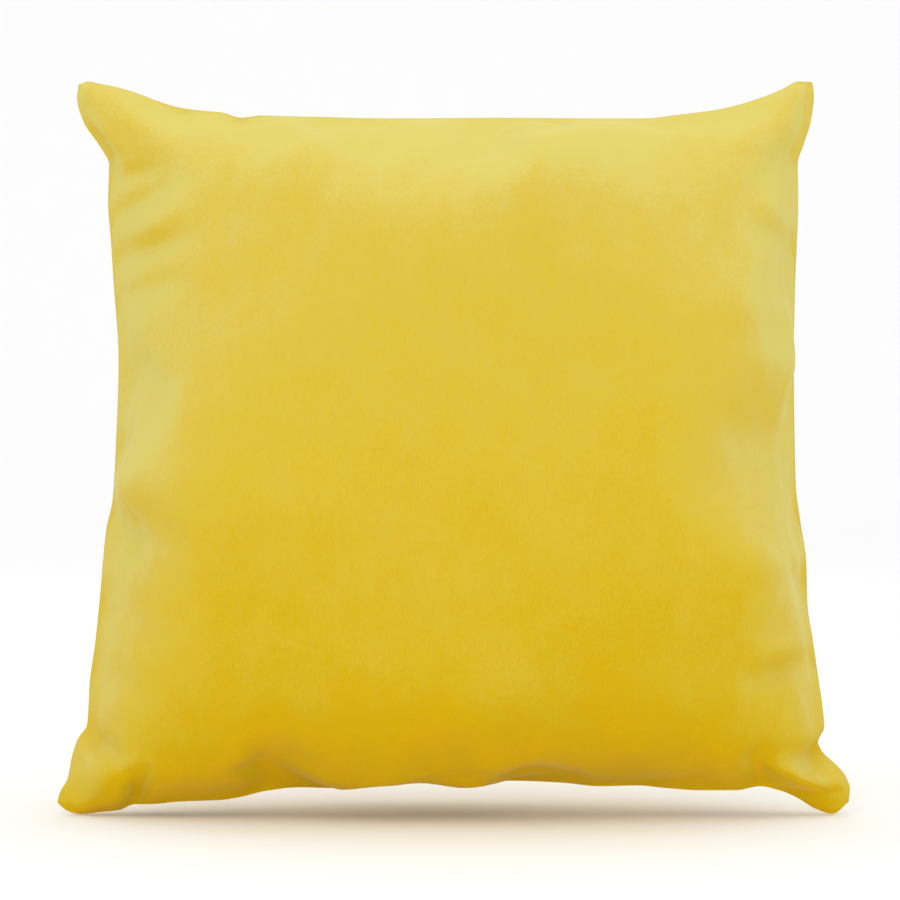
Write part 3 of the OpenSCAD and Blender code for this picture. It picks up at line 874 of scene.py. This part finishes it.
def velvet_material(name):
    """Short-pile velvet with painted light in its colour: a painted highlight where the surface
    faces up and the higher it stands, painted sheen where it faces sideways, painted shade deep
    below; with hand-brushed patches and the fine streaks of the pile."""
    material, tree, shader = node_material(name)
    place = object_place(tree)
    facing = add(tree, "ShaderNodeSeparateXYZ", {
        "Vector": add(tree, "ShaderNodeNewGeometry").outputs["Normal"],
    }).outputs
    # how far the surface faces sideways, for the painted sheen added below
    painted_sheen_sideways = maths(tree, "POWER", maths(tree, "ABSOLUTE", facing["X"], 0.0), 1.5)
    height = add(tree, "ShaderNodeSeparateXYZ", {"Vector": place}).outputs["Z"]
    # painted light: paler where the surface faces up, stands higher or faces sideways (painted
    # highlight and painted sheen), deeper where it faces down and lower down (painted shade)
    painted_light_and_pile = maths(tree, "ADD", ranged(tree, facing["Z"], -1, 1, -0.38, 0.38),
                ranged(tree, height, 0, HEIGHT, 0.30, 0.68))
    painted_light_and_pile = maths(tree, "ADD", painted_light_and_pile, ranged(tree, painted_sheen_sideways, 0, 1, 0, 0.55))
    patches = noise(tree, place, 14, 3, 0.55, 0.5)
    mottles = noise(tree, object_place(tree, (1, 1, 0.7)), 60, 4, 0.6, 0.3)
    streaks = noise(tree, object_place(tree, (1, 1, 0.38)), 900, 2, 0.6)
    grain = noise(tree, place, 2600, 1, 0.5)
    # the pile's own random tone (brushed patches, mottles, streaks, grain) is added on top of the
    # painted light
    for value, amount in ((patches, 0.09), (mottles, 0.08), (streaks, 0.11), (grain, 0.07)):
        painted_light_and_pile = maths(tree, "ADD", painted_light_and_pile, ranged(tree, value, 0.2, 0.8, -amount, amount))
    # the ramp turns painted light and pile tone into colour: deep golden at the low end for painted
    # shade, pale at the high end for painted highlight and sheen
    colour = ramp(tree, painted_light_and_pile, [
        (0.0, (0.73, 0.440, 0.0008)), (0.25, (0.635, 0.411, 0.002)), (0.5, (0.648, 0.465, 0.030)),
        (0.75, (0.65, 0.485, 0.066)), (1.0, (0.645, 0.550, 0.132)),
    ])
    tree.links.new(colour, shader.inputs["Base Color"])
    tree.links.new(ranged(tree, mottles, 0.2, 0.8, 0.92, 0.78), shader.inputs["Roughness"])
    bump = add(tree, "ShaderNodeBump", {
        "Height": mottles, "Strength": 0.25, "Distance": 1.2 * MM,
    }).outputs["Normal"]
    bump = add(tree, "ShaderNodeBump", {
        "Height": maths(tree, "ADD", streaks, grain), "Strength": 0.35, "Distance": 0.25 * MM,
        "Normal": bump,
    }).outputs["Normal"]
    tree.links.new(bump, shader.inputs["Normal"])
    shader.inputs["Specular IOR Level"].default_value = 0.08
    shader.inputs["Sheen Weight"].default_value = 0.25
    shader.inputs["Sheen Roughness"].default_value = 0.35
    shader.inputs["Sheen Tint"].default_value = (1.0, 0.93, 0.62, 1)
    return material


def plain_weave(name, colour, thread_size, contrast=0.08, sheen=0.15):
    """Woven cloth: two crossing sets of yarns, with uneven yarns and a soft bump."""
    material, tree, shader = node_material(name)
    place = object_place(tree)
    yarns = []
    for direction in ("X", "Z"):
        yarns.append(add(tree, "ShaderNodeTexWave", {
            "Vector": place, "Scale": 1 / thread_size / 3.2, "Distortion": 1.2, "Detail": 2.0,
            "Detail Scale": 1.5,
        }, bands_direction=direction).outputs["Fac"])
    weave = maths(tree, "MULTIPLY", *yarns)
    uneven = noise(tree, place, 45, 3, 0.6)
    shade = maths(tree, "ADD", ranged(tree, weave, 0, 1, 0.3, 0.6),
                  ranged(tree, uneven, 0.2, 0.8, -0.25, 0.25))
    dark = tuple(c * (1 - contrast) for c in colour)
    pale = tuple(min(1, c * (1 + contrast)) for c in colour)
    tree.links.new(ramp(tree, shade, [(0, dark), (1, pale)]), shader.inputs["Base Color"])
    tree.links.new(add(tree, "ShaderNodeBump", {
        "Height": weave, "Strength": 0.5, "Distance": 0.3 * thread_size,
    }).outputs["Normal"], shader.inputs["Normal"])
    shader.inputs["Roughness"].default_value = 0.85
    shader.inputs["Sheen Weight"].default_value = sheen
    return material


def thread_material(name, colour):
    """Twisted polyester sewing thread."""
    material, tree, shader = node_material(name)
    twist = add(tree, "ShaderNodeTexWave", {
        "Vector": object_place(tree, (1, 1, 0.6)), "Scale": 900, "Distortion": 0.8,
    }, bands_direction="DIAGONAL").outputs["Fac"]
    dark = tuple(0.7 * c for c in colour)
    tree.links.new(ramp(tree, twist, [(0, dark), (1, colour)]), shader.inputs["Base Color"])
    tree.links.new(add(tree, "ShaderNodeBump", {
        "Height": twist, "Strength": 0.5, "Distance": 0.1 * MM,
    }).outputs["Normal"], shader.inputs["Normal"])
    shader.inputs["Roughness"].default_value = 0.55
    shader.inputs["Sheen Weight"].default_value = 0.2
    return material


def nylon_material(name):
    """Dyed nylon monofilament, a little translucent."""
    material, tree, shader = node_material(name)
    cloud = noise(tree, object_place(tree), 320, 3, 0.6)
    tree.links.new(ramp(tree, cloud, [(0.2, (0.60, 0.40, 0.06)), (0.8, (0.74, 0.53, 0.12))]),
                   shader.inputs["Base Color"])
    tree.links.new(ranged(tree, cloud, 0.2, 0.8, 0.28, 0.42), shader.inputs["Roughness"])
    shader.inputs["Subsurface Weight"].default_value = 0.1
    shader.inputs["Subsurface Scale"].default_value = 0.5 * MM
    return material


def metal_material(name):
    """Tumbled nickel plate, with fine scuffs."""
    material, tree, shader = node_material(name)
    scuffs = noise(tree, object_place(tree, (0.25, 1, 1)), 1800, 3, 0.65)
    cloud = noise(tree, object_place(tree), 240, 2)
    tree.links.new(ramp(tree, cloud, [(0.3, (0.52, 0.50, 0.46)), (0.7, (0.66, 0.64, 0.60))]),
                   shader.inputs["Base Color"])
    tree.links.new(ranged(tree, scuffs, 0.2, 0.8, 0.22, 0.42), shader.inputs["Roughness"])
    tree.links.new(add(tree, "ShaderNodeBump", {
        "Height": scuffs, "Strength": 0.2, "Distance": 0.05 * MM,
    }).outputs["Normal"], shader.inputs["Normal"])
    shader.inputs["Metallic"].default_value = 1.0
    return material


def satin_material(name):
    """White satin ribbon with fine cross ribs."""
    material, tree, shader = node_material(name)
    rib = add(tree, "ShaderNodeTexWave", {
        "Vector": object_place(tree), "Scale": 500, "Distortion": 0.6,
    }, bands_direction="Z").outputs["Fac"]
    tree.links.new(ramp(tree, rib, [(0, (0.84, 0.83, 0.80)), (1, (0.93, 0.92, 0.89))]),
                   shader.inputs["Base Color"])
    tree.links.new(add(tree, "ShaderNodeBump", {
        "Height": rib, "Strength": 0.3, "Distance": 0.05 * MM,
    }).outputs["Normal"], shader.inputs["Normal"])
    shader.inputs["Roughness"].default_value = 0.4
    shader.inputs["Sheen Weight"].default_value = 0.3
    return material


def fibre_material(name):
    """Tufted white polyester fibre."""
    material, tree, shader = node_material(name)
    tufts = noise(tree, object_place(tree), 90, 6, 0.75, 2.0)
    tree.links.new(ramp(tree, tufts, [(0.25, (0.78, 0.78, 0.77)), (0.75, (0.95, 0.95, 0.94))]),
                   shader.inputs["Base Color"])
    tree.links.new(add(tree, "ShaderNodeBump", {
        "Height": tufts, "Strength": 0.8, "Distance": 3 * MM,
    }).outputs["Normal"], shader.inputs["Normal"])
    shader.inputs["Roughness"].default_value = 1.0
    shader.inputs["Sheen Weight"].default_value = 0.5
    return material


def refinished(node, material):
    """A CAD part keeps its shape and takes a finished material."""
    part = bpy.data.objects[node]
    if not part.material_slots:
        part.data.materials.append(material)
    for place in part.material_slots:
        place.material = material


yellow_thread = thread_material("yellow_thread", (0.70, 0.46, 0.04))
white_thread = thread_material("white_thread", (0.86, 0.85, 0.82))
nylon = nylon_material("zip_nylon_gold")
metal = metal_material("nickel")
satin = satin_material("label_satin_white")
cover_panels(velvet_material("velvet_yellow"))
insert_panels(plain_weave("insert_cotton_white", (0.86, 0.85, 0.81), 0.7 * MM))
fibre_pad(fibre_material("polyester_fibre"))
labels(satin)
seam_threads(yellow_thread, white_thread)
zip_pieces(plain_weave("zip_tape_gold", (0.60, 0.39, 0.06), 0.5 * MM, 0.15), nylon, yellow_thread)
for node, material in (("zip_top_stops", nylon), ("zip_bottom_stop", nylon),
                       ("zip_slider", metal), ("zip_pull_tab", metal)):
    refinished(node, material)


# ---------------------------------------------------------------------------------------------
# Floor, light and camera
# ---------------------------------------------------------------------------------------------
def stage_piece():
    """A pale floor that curves up into a wall behind the pillow."""
    radius, back_y, wide, tall = 0.8, 2.2, 6.0, 4.0
    turn = [
        (back_y + radius * math.sin(a), radius - radius * math.cos(a))
        for a in np.linspace(0, math.pi / 2, 17)
    ]
    profile = [(-4.0, 0.0)] + turn + [(back_y + radius, tall)]
    points = [(x, y, z) for x in (-wide, wide) for y, z in profile]
    n = len(profile)
    piece = mesh_object("studio_floor", points, [(k, k + n, k + n + 1, k + 1) for k in range(n - 1)])
    material, _, shader = node_material("studio_white")
    shader.inputs["Base Color"].default_value = (0.92, 0.92, 0.92, 1)
    shader.inputs["Roughness"].default_value = 0.9
    piece.data.materials.append(material)


def area_light(name, place, target, size, power):
    """A soft rectangular light at a place, turned to its target."""
    data = bpy.data.lights.new(name, "AREA")
    data.shape = "RECTANGLE"
    data.size, data.size_y = size
    data.energy = power
    lamp = bpy.data.objects.new(name, data)
    lamp.location = place
    lamp.rotation_euler = (Vector(target) - Vector(place)).to_track_quat("-Z", "Y").to_euler()
    bpy.context.scene.collection.objects.link(lamp)


def camera():
    """The photograph's view: from the front, a little above the pillow's middle."""
    middle = Vector((-2.1 * MM, 0, 202.6 * MM))
    elevation, distance, field = math.radians(3), 3.0, 497.2 * MM
    data = bpy.data.cameras.new("camera")
    data.sensor_width = 36
    data.lens = data.sensor_width * distance / field
    data.clip_end = 30
    eye = bpy.data.objects.new("camera", data)
    eye.location = middle + distance * Vector((0, -math.cos(elevation), math.sin(elevation)))
    eye.rotation_euler = (middle - eye.location).to_track_quat("-Z", "Y").to_euler()
    bpy.context.scene.collection.objects.link(eye)
    bpy.context.scene.camera = eye


stage_piece()
area_light("key", (-0.5, -1.4, 2.2), (0, 0, 0.2), (1.8, 1.2), 7)
area_light("top", (0.2, 0.3, 2.4), (0, 0, 0.2), (2.4, 1.2), 9)
area_light("fill", (0.3, -2.6, 0.35), (0, 0, 0.12), (2.4, 0.6), 4)
camera()

world = bpy.data.worlds.new("studio")
world.use_nodes = True
world.node_tree.nodes["Background"].inputs["Color"].default_value = (1, 1, 1, 1)
world.node_tree.nodes["Background"].inputs["Strength"].default_value = 1.0
bpy.context.scene.world = world
bpy.context.scene.view_settings.view_transform = "Standard"
